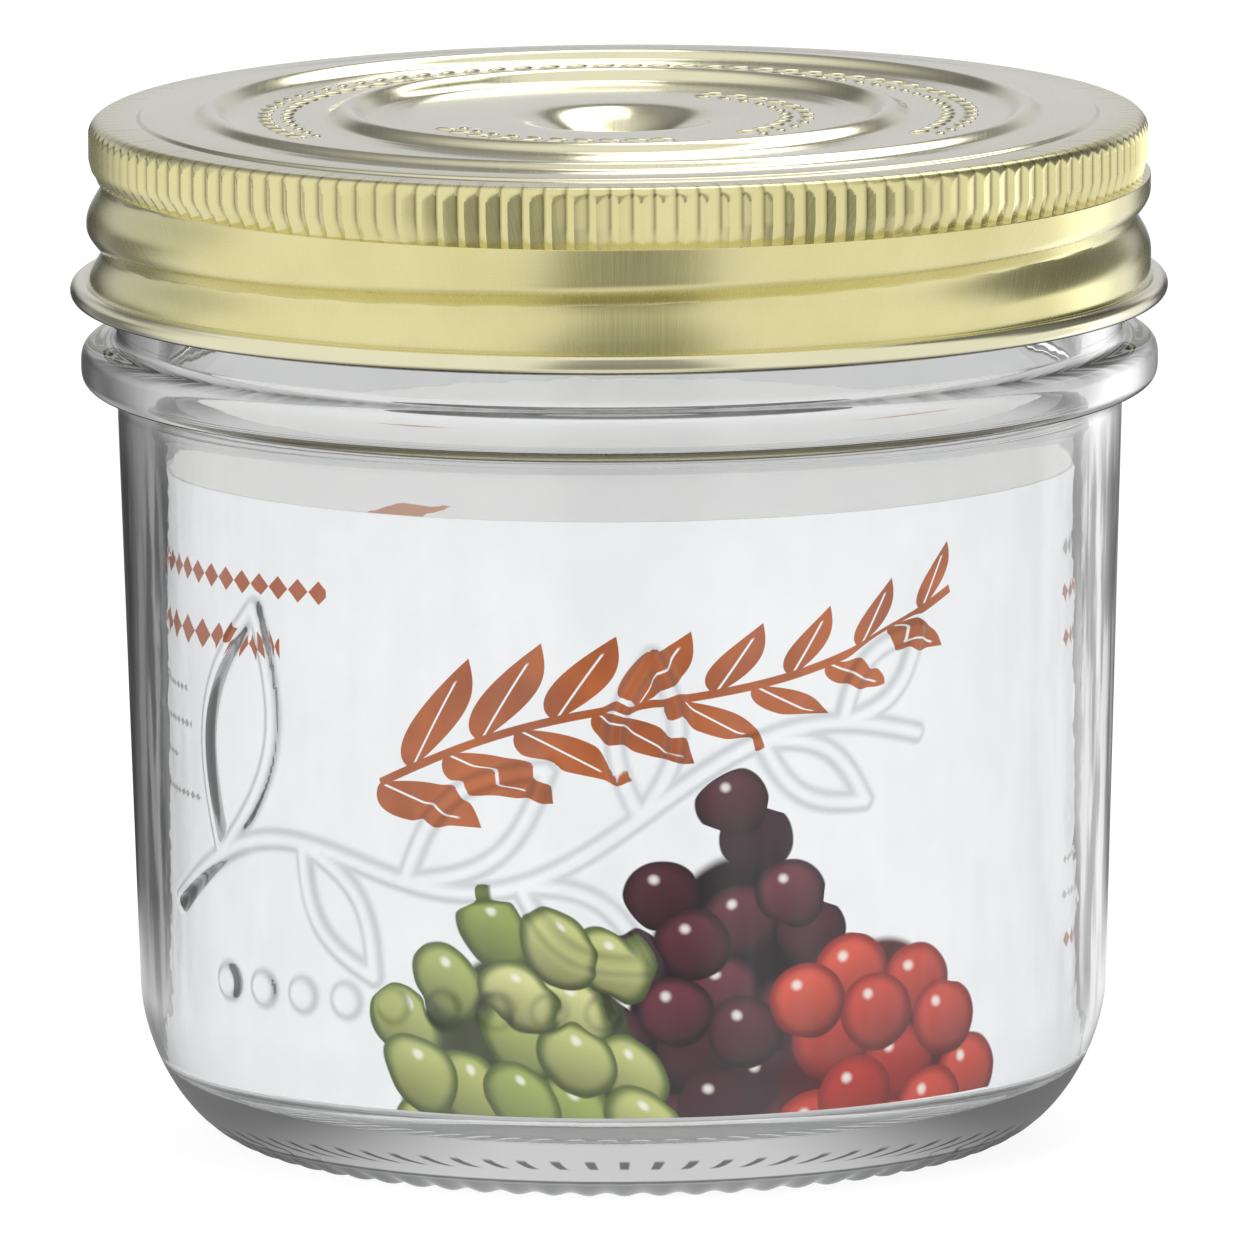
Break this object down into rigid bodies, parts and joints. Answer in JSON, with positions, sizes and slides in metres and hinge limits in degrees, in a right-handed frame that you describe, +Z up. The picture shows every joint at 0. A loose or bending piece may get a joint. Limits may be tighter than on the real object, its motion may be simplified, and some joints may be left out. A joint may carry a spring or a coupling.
{
  "type": "terrine jar",
  "caption": "Straight-sided clear glass terrine jar with a bead under its neck, a knurled gold screw lid with a rolled thread, a sealing capsule and a card leaflet inside.",
  "frame": {"origin": "middle of the base, on the surface that the jar stands on", "axes": "+Z up along the jar's axis, -Y towards the viewer of the picture, +X to the viewer's right"},
  "size_m": [0.108, 0.108, 0.1021],
  "materials": {
    "clear_glass": "clear pressed glass, polished by the fire",
    "white_card": "white coated card with a printed front",
    "seal_compound": "matt sealing compound, flowed in as a ring",
    "pale_lacquer": "tinplate under pale gold lacquer",
    "gold_lacquer": "brushed tinplate under clear gold lacquer, satin"
  },
  "bodies": {
    "jar": {"glass_jar": "clear_glass", "card_insert": "white_card"},
    "capsule": {"capsule_disc": "pale_lacquer", "sealing_ring": "seal_compound"},
    "lid": {"screw_lid": "gold_lacquer"}
  },
  "joints": [
    {"name": "lid_rise", "type": "slide", "parent": "jar", "child": "capsule", "axis": [0, 0, 1], "range_m": [0, 0.0261]},
    {"name": "lid_turn", "type": "hinge", "parent": "capsule", "child": "lid", "pos_m": [0, 0, 0.09], "axis": [0, 0, 1], "range_deg": [0, 1440]}
  ],
  "couplings": [
    {"joint": "lid_rise", "follows": "lid_turn", "m_per_rad": 0.0010345}
  ]
}
